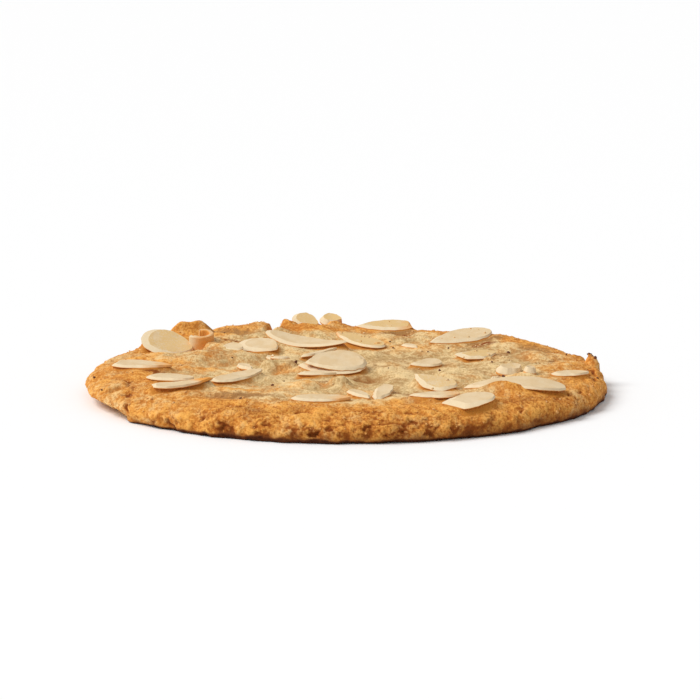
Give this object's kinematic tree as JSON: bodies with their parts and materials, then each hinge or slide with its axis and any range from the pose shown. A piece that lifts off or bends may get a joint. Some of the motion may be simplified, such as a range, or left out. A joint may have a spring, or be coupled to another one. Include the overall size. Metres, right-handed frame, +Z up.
{
  "type": "almond cookie",
  "caption": "Large thin round cookie with a golden crumbly rim, a paler top and sliced almond flakes baked into it.",
  "frame": {"origin": "middle of the cookie's bounding box, on the surface it rests on", "axes": "+Z up through the thickness; -Y towards the side that faces the camera in the picture, +X to its right"},
  "size_m": [0.1305, 0.1304, 0.0112],
  "materials": {
    "dough": "matte baked crumb, browner at the rim",
    "almond": "matte cream, faintly toasted at the edges"
  },
  "bodies": {
    "root": {"cookie": "dough", "flake_back_left": "almond", "flake_left_edge": "almond", "flake_left_upper": "almond", "flake_left_lower": "almond", "flake_left_long": "almond", "sliver_left": "almond", "flake_inner_left": "almond", "flake_back_large": "almond", "sliver_middle": "almond", "flake_middle_lower": "almond", "flake_middle_upper": "almond", "flake_middle_third": "almond", "flake_front_middle": "almond", "sliver_front": "almond", "flake_front_upright": "almond", "flake_right_shield": "almond", "flake_front_right": "almond", "flake_rim_front": "almond", "flake_right_long": "almond", "flake_right_edge": "almond", "flake_right_dusted": "almond", "flake_back_right": "almond", "sliver_right": "almond", "flake_back_rim": "almond", "flake_back_dusted": "almond", "flake_standing": "almond"}
  },
  "joints": []
}
